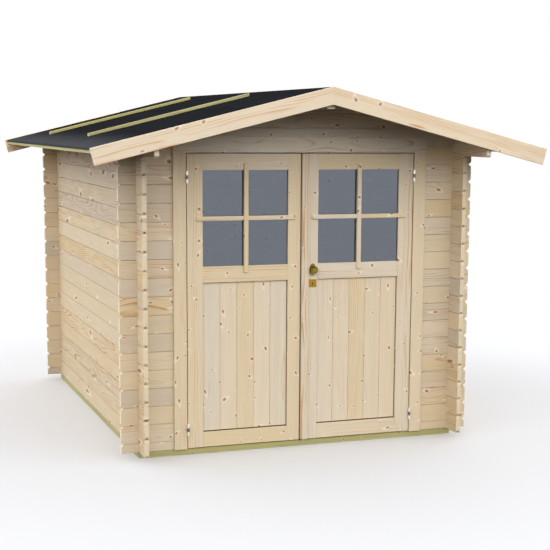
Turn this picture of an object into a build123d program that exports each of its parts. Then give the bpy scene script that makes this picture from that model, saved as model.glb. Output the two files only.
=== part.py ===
"""Wooden garden shed: interlocking plank walls, a felted pitched roof and a pair of glazed doors."""
import os
from math import cos, radians, sin, sqrt, tan

from build123d import *

os.makedirs("parts", exist_ok=True)

# Frame: millimetres, X to the right, the front faces -Y, the base stands on Z = 0
LEFT, RIGHT = -1, 1
FRONT, BACK = -1, 1

# Wall boards
BOARD = 116  # height that one board covers
COURSES = 16  # full boards in a side wall
WALL = 28  # board thickness
HALF_WIDTH = 1089  # centre to the outer face of a side wall
HALF_DEPTH = 1394  # centre to the outer face of the front and back walls
SIDE_STUB = 112  # front and back boards reach this far past the side walls
FRONT_STUB = 158  # side boards reach this far past the front wall
BACK_STUB = 112
NOTCH_DEPTH = 12  # chamfers at the board ends leave a V this deep at each joint
GROOVE_DEPTH = 3  # V joint along the faces

# Base and floor
BASE_HEIGHT = 38
BASE_RAIL = 58
BEARER = 45
BEARER_COUNT = 5
FLOOR = 18

# Roof
PITCH = radians(14)
RIDGE_TOP = 2314  # top of the felt at the ridge
FELT = 4
FELT_FOLD = 16  # the felt is turned down this far over the eaves strip
DECK = 18
EAVES_REACH = 1450  # centre to the eaves edge
FRONT_OVERHANG = 497  # front wall to the back of the front bargeboards
BACK_OVERHANG = 201
RIDGE_PURLIN = 50
PURLIN_SETBACK = 20  # purlins stop this far inside the bargeboards
BARGE_DEPTH = 103
BARGE = 18
BARGE_RISE = 1  # bargeboards stand this far above the felt
BARGE_LIP = 20  # bargeboard ends past the eaves edge
EAVES_STRIP = 18
EAVES_STRIP_SHOWN = 19  # height of the strip below the turned-down felt
BATTEN_WIDTH = 40
BATTEN_HEIGHT = 16
BATTEN_TOP, BATTEN_END = 145, 1243  # distances from the ridge, measured level
BATTEN_PLACES = (-715, 776)

# Door frame
DOORWAY = 776  # centre to the jamb's inner face
TRIM = 84  # face width of the jamb trim
TRIM_PROUD = 16  # trim stands this far in front of the wall
LINING = 24  # lining that fills the wall's cut edge
HEAD_BOTTOM = 1914
HEAD_TRIM = 100
STOP_LAP = 24  # stops reach this far behind the leaf
STOP_WIDTH = 78
STOP = 16
SILL_HEIGHT = 24
FIT_GAP = 1  # between the stops, and between stops and sill

# Door leaves
LEAF_SIDE_GAP = 6
LEAF_BOTTOM, LEAF_TOP = 44, 1908
LEAF_FACE = -1406  # front face of the stiles
LEAF = 32
LEAF_FRONT = 14  # part of the leaf's thickness in front of the glass and panel
LEFT_MEETING, RIGHT_MEETING = -18, -8  # meeting edges of the two leaves
LIGHT_INNER, LIGHT_OUTER = 103, 669  # glass and panel openings, from the centre line
LIGHT_BOTTOM, LIGHT_TOP = 1204, 1806
PANEL_BOTTOM, PANEL_TOP = 141, 1102
REBATE = 10
REBATE_PLAY = 2
GLASS = 4
PANEL = 12
PANEL_BOARDS = 5
PANEL_GROOVE = 3
STRIP_LEFT, STRIP_RIGHT = -13, 37  # cover strip on the right leaf's meeting edge
STRIP = 18
STRIP_CHAMFER = 4

# Lock and hinges
FURNITURE_X = 68
KNOB_HEIGHT = 1165
KNOB_RADIUS = 24
KNOB_NECK_RADIUS = 9
KNOB_NECK = 14
KNOB_FLARE = 10  # from the neck out to the rim
KNOB_RIM = 8
KNOB_BEVEL = 8
KNOB_FACE_RADIUS = 17
KNOB_DOME = 3
ROSE_WIDTH, ROSE_HEIGHT, ROSE = 40, 80, 4
LOCK_HEIGHT = 1076
LOCK_SIDE, LOCK = 50, 3
KEY_RADIUS, KEY_SLOT_WIDTH, KEY_SLOT = 4, 4, 13
HINGE_X = 772  # centre to the hinge axis
HINGE_Y = -1418
HINGE_HEIGHTS = (166, 1764)
HINGE_TALL = 75
KNUCKLE_RADIUS = 8
PIN_RADIUS = 3.5
PIN_PLAY = 0.3
KNUCKLE_PLAY = 0.5
HINGE_PLATE = 2
HINGE_PLATE_DEPTH = 28

# Sizes that follow from the driving dimensions
SLOPE = tan(PITCH)
FELT_DROP = FELT / cos(PITCH)
DECK_DROP = (FELT + DECK) / cos(PITCH)
FOLD_DROP = FELT_FOLD / cos(PITCH)
EAVES_STRIP_DROP = (FELT_FOLD + EAVES_STRIP_SHOWN) / cos(PITCH)
BATTEN_RISE = BATTEN_HEIGHT / cos(PITCH)
BARGE_DROP = BARGE_DEPTH / cos(PITCH)
FRONT_FACE = -HALF_DEPTH
WING_END = HALF_WIDTH + SIDE_STUB
FRONT_END = -HALF_DEPTH - FRONT_STUB
BACK_END = HALF_DEPTH + BACK_STUB
CROSS_X = HALF_WIDTH - WALL / 2
CROSS_Y = HALF_DEPTH - WALL / 2
SIDE_TOP = BASE_HEIGHT + COURSES * BOARD
SPLIT = SIDE_TOP + BOARD / 2  # front wall boards stop here and the gable goes on
SIDE_JOINTS = [BASE_HEIGHT + BOARD * n for n in range(COURSES + 1)]
END_JOINTS = [BASE_HEIGHT + BOARD * (n + 0.5) for n in range(COURSES + 1)]
GABLE_JOINTS = [SPLIT + BOARD * n for n in (1, 2)]
RIDGE_PURLIN_BOTTOM = GABLE_JOINTS[-1]
NECK = BOARD / 4  # a crossing leaves half a board, so this much is cut from each edge
ROOF_FRONT = -HALF_DEPTH - FRONT_OVERHANG
ROOF_BACK = HALF_DEPTH + BACK_OVERHANG
ROOF_LENGTH = ROOF_BACK - ROOF_FRONT
PURLIN_ENDS = (ROOF_FRONT + PURLIN_SETBACK, ROOF_BACK - PURLIN_SETBACK)
PURLIN_LENGTH = PURLIN_ENDS[1] - PURLIN_ENDS[0]
EAVES_STRIP_OUTER = EAVES_REACH - FELT
EAVES_STRIP_INNER = EAVES_STRIP_OUTER - EAVES_STRIP
FLOOR_TOP = BASE_HEIGHT + FLOOR
TRIM_FACE = FRONT_FACE - TRIM_PROUD
INNER_FACE = FRONT_FACE + WALL
OPENING = DOORWAY + LINING
LEAF_HINGE_EDGE = DOORWAY - LEAF_SIDE_GAP
LEAF_BACK = LEAF_FACE + LEAF
GLAZING_FACE = LEAF_FACE + LEAF_FRONT
REBATE_LAP = REBATE - REBATE_PLAY  # glass and panel reach this far into the rebate


def save(builder, name):
    """Label a finished piece and write it under its own name."""
    builder.part.label = name
    export_step(builder.part, f"parts/{name}.step")


def under_deck(x):
    """Height of the roof deck's underside at a distance from the centre line."""
    return RIDGE_TOP - DECK_DROP - abs(x) * SLOPE


def rect(u0, u1, v0, v1, mode=Mode.ADD):
    """Rectangle between two corners, in the sketch being drawn."""
    with Locations(((u0 + u1) / 2, (v0 + v1) / 2)):
        Rectangle(abs(u1 - u0), abs(v1 - v0), mode=mode)


def vees(points, depth, mode=Mode.ADD):
    """Squares on edge, half of each making a V of the given depth."""
    with Locations(*points):
        Rectangle(depth * sqrt(2), depth * sqrt(2), rotation=45, mode=mode)


def crossings(points):
    """Slots where the boards of the crossing wall pass through."""
    with Locations(*points):
        Rectangle(WALL, BOARD / 2, mode=Mode.SUBTRACT)


def slope_layer(side, inner, outer, top_drop, bottom_drop):
    """Section of one roof layer between two drops below the roof's top line."""
    inner_z = RIDGE_TOP - inner * SLOPE
    outer_z = RIDGE_TOP - outer * SLOPE
    Polygon(
        (side * inner, inner_z - top_drop),
        (side * inner, inner_z - bottom_drop),
        (side * outer, outer_z - bottom_drop),
        (side * outer, outer_z - top_drop),
        align=None,
    )


# Base rails, flush with the wall faces
for name, end in (("front", FRONT), ("back", BACK)):
    with BuildPart() as base_rail:
        with BuildSketch(Plane.XY):
            rect(-HALF_WIDTH, HALF_WIDTH, end * HALF_DEPTH, end * (HALF_DEPTH - BASE_RAIL))
        extrude(amount=BASE_HEIGHT)
    save(base_rail, f"base_rail_{name}")

for name, side in (("left", LEFT), ("right", RIGHT)):
    with BuildPart() as base_rail:
        with BuildSketch(Plane.XY):
            rail_end = HALF_DEPTH - BASE_RAIL
            rect(side * HALF_WIDTH, side * (HALF_WIDTH - BASE_RAIL), -rail_end, rail_end)
        extrude(amount=BASE_HEIGHT)
    save(base_rail, f"base_rail_{name}")

# Floor bearers between the side rails, and the floor that lies on them
with BuildPart() as floor_bearers:
    with BuildSketch(Plane.XY):
        with GridLocations(0, 2 * HALF_DEPTH / (BEARER_COUNT + 1), 1, BEARER_COUNT):
            Rectangle(2 * (HALF_WIDTH - BASE_RAIL), BEARER)
    extrude(amount=BASE_HEIGHT)
save(floor_bearers, "floor_bearers")

with BuildPart() as floor_deck:
    with BuildSketch(Plane.XY.offset(BASE_HEIGHT)):
        Rectangle(2 * (HALF_WIDTH - WALL), 2 * (HALF_DEPTH - WALL))
    extrude(amount=FLOOR)
save(floor_deck, "floor_deck")

# Side walls: boards lie on the base, notched where the front and back boards cross them
for name, side in (("left", LEFT), ("right", RIGHT)):
    with BuildPart() as side_wall:
        with BuildSketch(Plane.YZ.offset(side * HALF_WIDTH)):
            rect(FRONT_END, BACK_END, BASE_HEIGHT, SIDE_TOP)
            vees([(y, z) for y in (FRONT_END, BACK_END) for z in SIDE_JOINTS], NOTCH_DEPTH, Mode.SUBTRACT)
            crossings([(y, z) for y in (-CROSS_Y, CROSS_Y) for z in SIDE_JOINTS])
        extrude(amount=-side * WALL)
        with BuildSketch(Plane.XZ):
            faces = (side * HALF_WIDTH, side * (HALF_WIDTH - WALL))
            vees([(x, z) for x in faces for z in SIDE_JOINTS[1:-1]], GROOVE_DEPTH)
        extrude(amount=BACK_END - FRONT_END, both=True, mode=Mode.SUBTRACT)
    save(side_wall, f"{name}_wall")

# Front wall beside the doorway: the lowest board is a half one, so the corners interlock
for name, side in (("left", LEFT), ("right", RIGHT)):
    with BuildPart() as front_wall:
        with BuildSketch(Plane.XZ.offset(HALF_DEPTH)):
            rect(side * OPENING, side * WING_END, BASE_HEIGHT, SPLIT)
            vees([(side * WING_END, z) for z in END_JOINTS], NOTCH_DEPTH, Mode.SUBTRACT)
            crossings([(side * CROSS_X, z) for z in END_JOINTS])
        extrude(amount=-WALL)
        with BuildSketch(Plane.YZ):
            vees([(y, z) for y in (FRONT_FACE, INNER_FACE) for z in END_JOINTS[:-1]], GROOVE_DEPTH)
        extrude(amount=WING_END + BOARD, both=True, mode=Mode.SUBTRACT)
    save(front_wall, f"front_wall_{name}")

# Front gable above the doorway, cut to the roof's slope and slotted for the ridge purlin
with BuildPart() as front_gable:
    with BuildSketch(Plane.XZ.offset(HALF_DEPTH)):
        Polygon(
            (-WING_END, SPLIT),
            (WING_END, SPLIT),
            (WING_END, under_deck(WING_END)),
            (0, under_deck(0)),
            (-WING_END, under_deck(WING_END)),
            align=None,
        )
        vees([(x, SPLIT) for x in (-WING_END, WING_END)], NOTCH_DEPTH, Mode.SUBTRACT)
        crossings([(x, SPLIT) for x in (-CROSS_X, CROSS_X)])
        rect(-RIDGE_PURLIN / 2, RIDGE_PURLIN / 2, RIDGE_PURLIN_BOTTOM, RIDGE_TOP, Mode.SUBTRACT)
    extrude(amount=-WALL)
    with BuildSketch(Plane.YZ):
        vees([(y, z) for y in (FRONT_FACE, INNER_FACE) for z in GABLE_JOINTS], GROOVE_DEPTH)
    extrude(amount=WING_END + BOARD, both=True, mode=Mode.SUBTRACT)
save(front_gable, "front_gable")

# Back wall with its gable in one height of boards
with BuildPart() as back_wall:
    with BuildSketch(Plane.XZ.offset(-HALF_DEPTH)):
        Polygon(
            (-WING_END, BASE_HEIGHT),
            (WING_END, BASE_HEIGHT),
            (WING_END, under_deck(WING_END)),
            (0, under_deck(0)),
            (-WING_END, under_deck(WING_END)),
            align=None,
        )
        vees([(x, z) for x in (-WING_END, WING_END) for z in END_JOINTS], NOTCH_DEPTH, Mode.SUBTRACT)
        crossings([(x, z) for x in (-CROSS_X, CROSS_X) for z in END_JOINTS])
        rect(-RIDGE_PURLIN / 2, RIDGE_PURLIN / 2, RIDGE_PURLIN_BOTTOM, RIDGE_TOP, Mode.SUBTRACT)
    extrude(amount=WALL)
    with BuildSketch(Plane.YZ):
        back_faces = (HALF_DEPTH, HALF_DEPTH - WALL)
        vees([(y, z) for y in back_faces for z in END_JOINTS + GABLE_JOINTS], GROOVE_DEPTH)
    extrude(amount=WING_END + BOARD, both=True, mode=Mode.SUBTRACT)
save(back_wall, "back_wall")

# Eaves purlins: the top board of each side wall, running on under the front overhang
for name, side in (("left", LEFT), ("right", RIGHT)):
    outer, inner = side * HALF_WIDTH, side * (HALF_WIDTH - WALL)
    with BuildPart() as eaves_purlin:
        with BuildSketch(Plane.XZ.offset(-PURLIN_ENDS[0])):
            Polygon(
                (outer, SIDE_TOP),
                (inner, SIDE_TOP),
                (inner, under_deck(inner)),
                (outer, under_deck(outer)),
                align=None,
            )
        extrude(amount=-PURLIN_LENGTH)
        with BuildSketch(Plane.YZ):
            for y in (-CROSS_Y, CROSS_Y):
                rect(y - WALL / 2, y + WALL / 2, SIDE_TOP, SIDE_TOP + NECK)
                rect(y - WALL / 2, y + WALL / 2, SIDE_TOP + BOARD - NECK, RIDGE_TOP)
            vees([(y, SIDE_TOP) for y in PURLIN_ENDS], NOTCH_DEPTH)
        extrude(amount=WING_END, both=True, mode=Mode.SUBTRACT)
    save(eaves_purlin, f"eaves_purlin_{name}")

# Ridge purlin, bevelled both ways under the deck
with BuildPart() as ridge_purlin:
    half = RIDGE_PURLIN / 2
    with BuildSketch(Plane.XZ.offset(-PURLIN_ENDS[0])):
        Polygon(
            (-half, RIDGE_PURLIN_BOTTOM),
            (half, RIDGE_PURLIN_BOTTOM),
            (half, under_deck(half)),
            (0, under_deck(0)),
            (-half, under_deck(half)),
            align=None,
        )
    extrude(amount=-PURLIN_LENGTH)
save(ridge_purlin, "ridge_purlin")

# Roof layers on each slope: boarded deck, treated strip along the eaves, felt turned down over it, battens
for name, side in (("left", LEFT), ("right", RIGHT)):
    with BuildPart() as roof_deck:
        with BuildSketch(Plane.XZ.offset(-ROOF_FRONT)):
            slope_layer(side, 0, EAVES_STRIP_INNER, FELT_DROP, DECK_DROP)
        extrude(amount=-ROOF_LENGTH)
    save(roof_deck, f"roof_deck_{name}")

    with BuildPart() as eaves_strip:
        with BuildSketch(Plane.XZ.offset(-ROOF_FRONT)):
            slope_layer(side, EAVES_STRIP_INNER, EAVES_STRIP_OUTER, FELT_DROP, EAVES_STRIP_DROP)
        extrude(amount=-ROOF_LENGTH)
    save(eaves_strip, f"eaves_strip_{name}")

    with BuildPart() as roof_felt:
        with BuildSketch(Plane.XZ.offset(-ROOF_FRONT)):
            slope_layer(side, 0, EAVES_REACH, 0, FELT_DROP)
            slope_layer(side, EAVES_STRIP_OUTER, EAVES_REACH, 0, FOLD_DROP)
        extrude(amount=-ROOF_LENGTH)
    save(roof_felt, f"roof_felt_{name}")

    with BuildPart() as felt_battens:
        for place in BATTEN_PLACES:
            with BuildSketch(Plane.XZ.offset(-place - BATTEN_WIDTH / 2)):
                slope_layer(side, BATTEN_TOP, BATTEN_END, -BATTEN_RISE, 0)
            extrude(amount=BATTEN_WIDTH)
    save(felt_battens, f"felt_battens_{name}")

# Bargeboards, mitred at the ridge and cut square at the eaves
for end_name, start in (("front", ROOF_FRONT - BARGE), ("back", ROOF_BACK)):
    for name, side in (("left", LEFT), ("right", RIGHT)):
        tip = EAVES_REACH + BARGE_LIP
        peak_z = RIDGE_TOP + BARGE_RISE
        tip_z = peak_z - tip * SLOPE
        with BuildPart() as bargeboard:
            with BuildSketch(Plane.XZ.offset(-start)):
                Polygon(
                    (0, peak_z),
                    (0, peak_z - BARGE_DROP),
                    (side * (tip - BARGE_DEPTH * sin(PITCH)), tip_z - BARGE_DEPTH * cos(PITCH)),
                    (side * tip, tip_z),
                    align=None,
                )
            extrude(amount=-BARGE)
        save(bargeboard, f"bargeboard_{end_name}_{name}")

# Door jambs: a lining on the wall's cut edge with a trim that laps the wall's face
for name, side in (("left", LEFT), ("right", RIGHT)):
    with BuildPart() as door_jamb:
        with BuildSketch(Plane.XY.offset(BASE_HEIGHT)):
            rect(side * DOORWAY, side * (DOORWAY + TRIM), TRIM_FACE, FRONT_FACE)
            rect(side * DOORWAY, side * OPENING, FRONT_FACE, INNER_FACE)
        extrude(amount=HEAD_BOTTOM - BASE_HEIGHT)
    save(door_jamb, f"door_jamb_{name}")

# Door head over both jambs, lining the gap up to the gable
with BuildPart() as door_head:
    with BuildSketch(Plane.XZ.offset(-TRIM_FACE)):
        rect(-DOORWAY - TRIM, DOORWAY + TRIM, HEAD_BOTTOM, HEAD_BOTTOM + HEAD_TRIM)
    extrude(amount=-TRIM_PROUD)
    with BuildSketch(Plane.XZ.offset(HALF_DEPTH)):
        rect(-OPENING, OPENING, HEAD_BOTTOM, SPLIT)
    extrude(amount=-WALL)
save(door_head, "door_head")

# Stops on the inside of the frame that the closed leaves come up to
with BuildPart() as door_stops:
    with BuildSketch(Plane.XZ.offset(-INNER_FACE)):
        stop_inner = DOORWAY - STOP_LAP
        stop_outer = stop_inner + STOP_WIDTH
        for side in (LEFT, RIGHT):
            rect(side * stop_inner, side * stop_outer, FLOOR_TOP, HEAD_BOTTOM - STOP_LAP - FIT_GAP)
        rect(-stop_outer, stop_outer, HEAD_BOTTOM - STOP_LAP, HEAD_BOTTOM - STOP_LAP + STOP_WIDTH)
    extrude(amount=-STOP)
save(door_stops, "door_stops")

# Sill strip on the floor between the stops
with BuildPart() as door_sill:
    with BuildSketch(Plane.XY.offset(FLOOR_TOP)):
        rect(FIT_GAP - stop_inner, stop_inner - FIT_GAP, INNER_FACE, INNER_FACE + BASE_RAIL - WALL)
    extrude(amount=SILL_HEIGHT)
save(door_sill, "door_sill")

# Door leaves: framed in stiles and rails, glazed above and boarded below
for name, side, meeting in (("left", LEFT, LEFT_MEETING), ("right", RIGHT, RIGHT_MEETING)):
    lights = ((LIGHT_BOTTOM, LIGHT_TOP), (PANEL_BOTTOM, PANEL_TOP))
    inner, outer = side * LIGHT_INNER, side * LIGHT_OUTER
    rebate = side * REBATE
    lap = side * REBATE_LAP
    with BuildPart() as door_frame:
        with BuildSketch(Plane.XZ.offset(-LEAF_FACE)):
            rect(meeting, side * LEAF_HINGE_EDGE, LEAF_BOTTOM, LEAF_TOP)
            for low, high in lights:
                rect(inner, outer, low, high, Mode.SUBTRACT)
        extrude(amount=-LEAF_FRONT)
        with BuildSketch(Plane.XZ.offset(-GLAZING_FACE)):
            rect(meeting, side * LEAF_HINGE_EDGE, LEAF_BOTTOM, LEAF_TOP)
            for low, high in lights:
                rect(inner - rebate, outer + rebate, low - REBATE, high + REBATE, Mode.SUBTRACT)
        extrude(amount=LEAF_FRONT - LEAF)
    save(door_frame, f"{name}_door_frame")

    with BuildPart() as door_glass:
        with BuildSketch(Plane.XZ.offset(-GLAZING_FACE)):
            rect(inner - lap, outer + lap, LIGHT_BOTTOM - REBATE_LAP, LIGHT_TOP + REBATE_LAP)
        extrude(amount=-GLASS)
    save(door_glass, f"{name}_door_glass")

    with BuildPart() as door_panel:
        with BuildSketch(Plane.XZ.offset(-GLAZING_FACE)):
            rect(inner - lap, outer + lap, PANEL_BOTTOM - REBATE_LAP, PANEL_TOP + REBATE_LAP)
        extrude(amount=-PANEL)
        with BuildSketch(Plane.XY.offset(PANEL_BOTTOM - REBATE)):
            pitch = (LIGHT_OUTER - LIGHT_INNER) / PANEL_BOARDS
            joints = [inner + side * pitch * n for n in range(1, PANEL_BOARDS)]
            vees([(x, GLAZING_FACE) for x in joints], PANEL_GROOVE)
        extrude(amount=PANEL_TOP - PANEL_BOTTOM + 2 * REBATE, mode=Mode.SUBTRACT)
    save(door_panel, f"{name}_door_panel")

# Cover strip on the right leaf's meeting edge
with BuildPart() as meeting_strip:
    with BuildSketch(Plane.XY.offset(LEAF_BOTTOM)):
        rect(STRIP_LEFT, STRIP_RIGHT, LEAF_FACE - STRIP, LEAF_FACE)
    extrude(amount=LEAF_TOP - LEAF_BOTTOM)
    front_edges = meeting_strip.edges().filter_by(Axis.Z).group_by(Axis.Y)[0]
    chamfer(front_edges, STRIP_CHAMFER)
save(meeting_strip, "meeting_strip")

# Turned knob on an oval rose: its profile is drawn outward from the rose and spun about its axis
knob_seat = (FURNITURE_X, LEAF_FACE - ROSE, KNOB_HEIGHT)
knob_plane = Plane(origin=knob_seat, x_dir=(0, -1, 0), z_dir=(1, 0, 0))
with BuildPart() as door_knob:
    with BuildSketch(Plane.XZ.offset(-LEAF_FACE)):
        with Locations((FURNITURE_X, KNOB_HEIGHT)):
            Ellipse(ROSE_WIDTH / 2, ROSE_HEIGHT / 2)
    extrude(amount=ROSE)
    with BuildSketch(knob_plane):
        with BuildLine():
            rim = KNOB_NECK + KNOB_FLARE
            face = rim + KNOB_RIM + KNOB_BEVEL
            outline = Polyline(
                (0, 0),
                (0, KNOB_NECK_RADIUS),
                (KNOB_NECK, KNOB_NECK_RADIUS),
                (rim, KNOB_RADIUS),
                (rim + KNOB_RIM, KNOB_RADIUS),
                (face, KNOB_FACE_RADIUS),
            )
            TangentArc((face + KNOB_DOME, 0), outline @ 1, tangent=(0, 1))
            Line((0, 0), (face + KNOB_DOME, 0))
        make_face()
    revolve(axis=Axis(knob_seat, (0, -1, 0)))
save(door_knob, "door_knob")

# Lock plate with its keyhole
with BuildPart() as lock_plate:
    with BuildSketch(Plane.XZ.offset(-LEAF_FACE)):
        with Locations((FURNITURE_X, LOCK_HEIGHT)):
            Rectangle(LOCK_SIDE, LOCK_SIDE)
            Circle(KEY_RADIUS, mode=Mode.SUBTRACT)
            Rectangle(KEY_SLOT_WIDTH, KEY_SLOT, align=(Align.CENTER, Align.MAX), mode=Mode.SUBTRACT)
    extrude(amount=LOCK)
save(lock_plate, "lock_plate")

# Hinges: the frame half holds the pin and the outer knuckles, the leaf half turns on it
for name, side in (("left", LEFT), ("right", RIGHT)):
    third = HINGE_TALL / 3
    axis_x = side * HINGE_X
    jamb_x = side * DOORWAY
    leaf_x = side * LEAF_HINGE_EDGE
    with BuildPart() as hinge_pins:
        for height in HINGE_HEIGHTS:
            low = height - HINGE_TALL / 2
            for start in (low, low + 2 * third):
                with BuildSketch(Plane.XY.offset(start)):
                    with Locations((axis_x, HINGE_Y)):
                        Circle(KNUCKLE_RADIUS)
                    rect(jamb_x, jamb_x - side * HINGE_PLATE, HINGE_Y, TRIM_FACE)
                extrude(amount=third)
            with BuildSketch(Plane.XY.offset(low)):
                rect(jamb_x, jamb_x - side * HINGE_PLATE, TRIM_FACE, TRIM_FACE + HINGE_PLATE_DEPTH)
            extrude(amount=HINGE_TALL)
            with BuildSketch(Plane.XY.offset(low)):
                with Locations((axis_x, HINGE_Y)):
                    Circle(PIN_RADIUS)
            extrude(amount=HINGE_TALL)
    save(hinge_pins, f"{name}_hinge_pins")

    with BuildPart() as hinge_sleeves:
        for height in HINGE_HEIGHTS:
            low = height - HINGE_TALL / 2 + third + KNUCKLE_PLAY
            with BuildSketch(Plane.XY.offset(low)):
                with Locations((axis_x, HINGE_Y)):
                    Circle(KNUCKLE_RADIUS)
                rect(leaf_x, leaf_x + side * HINGE_PLATE, HINGE_Y, LEAF_FACE + HINGE_PLATE_DEPTH)
                with Locations((axis_x, HINGE_Y)):
                    Circle(PIN_RADIUS + PIN_PLAY, mode=Mode.SUBTRACT)
            extrude(amount=third - 2 * KNUCKLE_PLAY)
    save(hinge_sleeves, f"{name}_hinge_sleeves")
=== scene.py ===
"""Looks of a wooden garden shed.

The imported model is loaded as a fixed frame. Its timber is laid again board by board, each board with its
own grain and knots, and the felt, glass and metal are finished to match. Sizes are millimetres in the
shed's own frame, X to the right, the doors facing -Y and Z up, and meshes are written in metres.
"""
import logging
import math
from collections.abc import Sequence
from dataclasses import dataclass, field, replace
from enum import Enum
from functools import cache

import bpy
import numpy as np
from mathutils import Matrix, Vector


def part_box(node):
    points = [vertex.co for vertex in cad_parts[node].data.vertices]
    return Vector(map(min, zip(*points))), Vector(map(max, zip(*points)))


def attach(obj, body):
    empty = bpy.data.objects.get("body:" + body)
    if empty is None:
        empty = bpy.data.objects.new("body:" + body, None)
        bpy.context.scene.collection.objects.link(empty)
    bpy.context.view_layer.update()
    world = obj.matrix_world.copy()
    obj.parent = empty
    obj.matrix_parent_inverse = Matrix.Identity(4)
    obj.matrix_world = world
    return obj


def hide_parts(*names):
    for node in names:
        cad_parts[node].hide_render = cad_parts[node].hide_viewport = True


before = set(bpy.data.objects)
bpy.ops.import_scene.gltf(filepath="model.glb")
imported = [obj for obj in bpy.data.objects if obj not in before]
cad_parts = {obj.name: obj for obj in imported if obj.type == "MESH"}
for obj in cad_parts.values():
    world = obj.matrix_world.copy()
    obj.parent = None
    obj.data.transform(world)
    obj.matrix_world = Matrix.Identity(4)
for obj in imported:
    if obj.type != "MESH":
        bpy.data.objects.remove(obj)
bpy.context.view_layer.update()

LOG = logging.getLogger("shed")
MM = 0.001
METRE = 1000.0
HALF = 0.5
ARC_STEPS = 4
TOUCH = 1e-6
SEED = 1987
CHANCE = np.random.default_rng(SEED)
GRAIN, TONE, END_GRAIN = "grain", "tone", "end_grain"
MIX_A, MIX_B, MIX_RESULT = 6, 7, 2

Array = np.ndarray
Pair = tuple[float, float]
Material = bpy.types.Material
Tree = bpy.types.NodeTree
Node = bpy.types.Node
Socket = bpy.types.NodeSocket


class Run(Enum):
    """Directions of a timber's length, width and thickness, as three right-handed rows."""

    ACROSS = ((1, 0, 0), (0, 0, 1), (0, -1, 0))
    DEEP = ((0, 1, 0), (0, 0, 1), (1, 0, 0))
    UPRIGHT = ((0, 0, 1), (1, 0, 0), (0, 1, 0))
    LYING = ((0, 1, 0), (-1, 0, 0), (0, 0, 1))
    LEVEL = ((1, 0, 0), (0, 1, 0), (0, 0, 1))

    @property
    def axes(self) -> Array:
        """The three directions as an array."""
        return np.array(self.value, float)


class Side(Enum):
    """Left and right halves of the shed, seen from the doors."""

    LEFT = -1
    RIGHT = 1

    @property
    def word(self) -> str:
        """The side's name as the pieces use it."""
        return self.name.lower()


class Body(Enum):
    """Bodies of the frame that pieces ride on."""

    SHED = "shed"
    LEFT_DOOR = "left_door"
    RIGHT_DOOR = "right_door"


def node_box(name: str) -> tuple[Array, Array]:
    """Read a CAD node's box.

    Args:
        name: The node's name.

    Returns:
        Its lowest and highest corners in millimetres.
    """
    low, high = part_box(name)
    return np.array(low) / MM, np.array(high) / MM


def linear(colour: str) -> tuple[float, float, float, float]:
    """Turn an sRGB hex colour into linear light.

    Args:
        colour: Six hex digits after a hash mark.

    Returns:
        Linear red, green and blue with an alpha of 1.
    """
    srgb = np.array([int(colour[i:i + 2], 16) for i in (1, 3, 5)]) / 255
    light = np.where(srgb <= 0.04045, srgb / 12.92, ((srgb + 0.055) / 1.055) ** 2.4)
    return (*light.tolist(), 1.0)


def feed(tree: Tree, made: Node, inputs: dict) -> None:
    """Set or link a node's inputs.

    Args:
        tree: The node tree.
        made: The node.
        inputs: Values, sockets or nodes by an input's name or number. A node gives its first enabled output.
    """
    for key, value in inputs.items():
        if isinstance(value, Node):
            value = next(socket for socket in value.outputs if socket.enabled)
        if isinstance(value, Socket):
            tree.links.new(value, made.inputs[key])
        else:
            made.inputs[key].default_value = value


def node(tree: Tree, kind: str, inputs: dict | None = None, **settings: object) -> Node:
    """Add a shader node with its settings and links.

    Args:
        tree: The node tree to add to.
        kind: The node's type name, after ShaderNode.
        inputs: Values, sockets or nodes for its inputs.
        settings: Properties to set on the node.

    Returns:
        The new node.
    """
    made = tree.nodes.new(f"ShaderNode{kind}")
    for key, value in settings.items():
        setattr(made, key, value)
    feed(tree, made, inputs or {})
    return made


def empty_tree(owner: Material | bpy.types.World) -> Tree:
    """Give a material or a world an empty node tree.

    Args:
        owner: The material or world.

    Returns:
        Its tree.
    """
    owner.use_nodes = True
    owner.node_tree.nodes.clear()
    return owner.node_tree


def blank_material(name: str) -> tuple[Material, Tree, Node]:
    """Start a material with its shader joined to the output.

    Args:
        name: The finish's name.

    Returns:
        The material, its node tree and its Principled shader.
    """
    material = bpy.data.materials.new(name)
    tree = empty_tree(material)
    shader = node(tree, "BsdfPrincipled")
    node(tree, "OutputMaterial", {"Surface": shader})
    return material, tree, shader


def add_object(name: str, data: bpy.types.ID) -> bpy.types.Object:
    """Put a mesh or a camera in the scene.

    Args:
        name: The object's name.
        data: The mesh or camera.

    Returns:
        The new object, at the origin.
    """
    made = bpy.data.objects.new(name, data)
    bpy.context.scene.collection.objects.link(made)
    return made


@dataclass(frozen=True)
class GrainNoise:
    """Noise drawn out along the grain: its spots' sizes in mm along and across the board, and its detail."""

    along: float
    across: float
    detail: float = 2.0


@dataclass(frozen=True)
class KnotMark:
    """Soft oval in knot radii: how far it lies along the branch, its stretch, fading edge and strength."""

    shift: float
    stretch: Pair
    outer: float
    inner: float
    strength: float


# Each size is a metre shared among so many spots.
# Wood fibres are finer than the eye sees here, so they are drawn coarser to show.
GRAIN_NOISES = {
    "fibre": GrainNoise(METRE / 11, METRE / 520),
    "streak": GrainNoise(METRE / 1.7, METRE / 62),
    "bend": GrainNoise(METRE / 3, METRE / 11, detail=0.0),
    "fade": GrainNoise(METRE / 3, METRE / 26),
}
KNOT_CORE = KnotMark(0.0, (0.75, 1.15), outer=1.15, inner=0.5, strength=0.85)
KNOT_HEART = KnotMark(-0.3, (1.2, 1.9), outer=1.2, inner=0.3, strength=0.6)
PALE_COLLAR = KnotMark(0.2, (0.5, 0.6), outer=1.2, inner=0.5, strength=0.6)
PALE_TAIL = KnotMark(1.8, (0.42, 1.0), outer=1.2, inner=0.1, strength=0.75)


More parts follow.
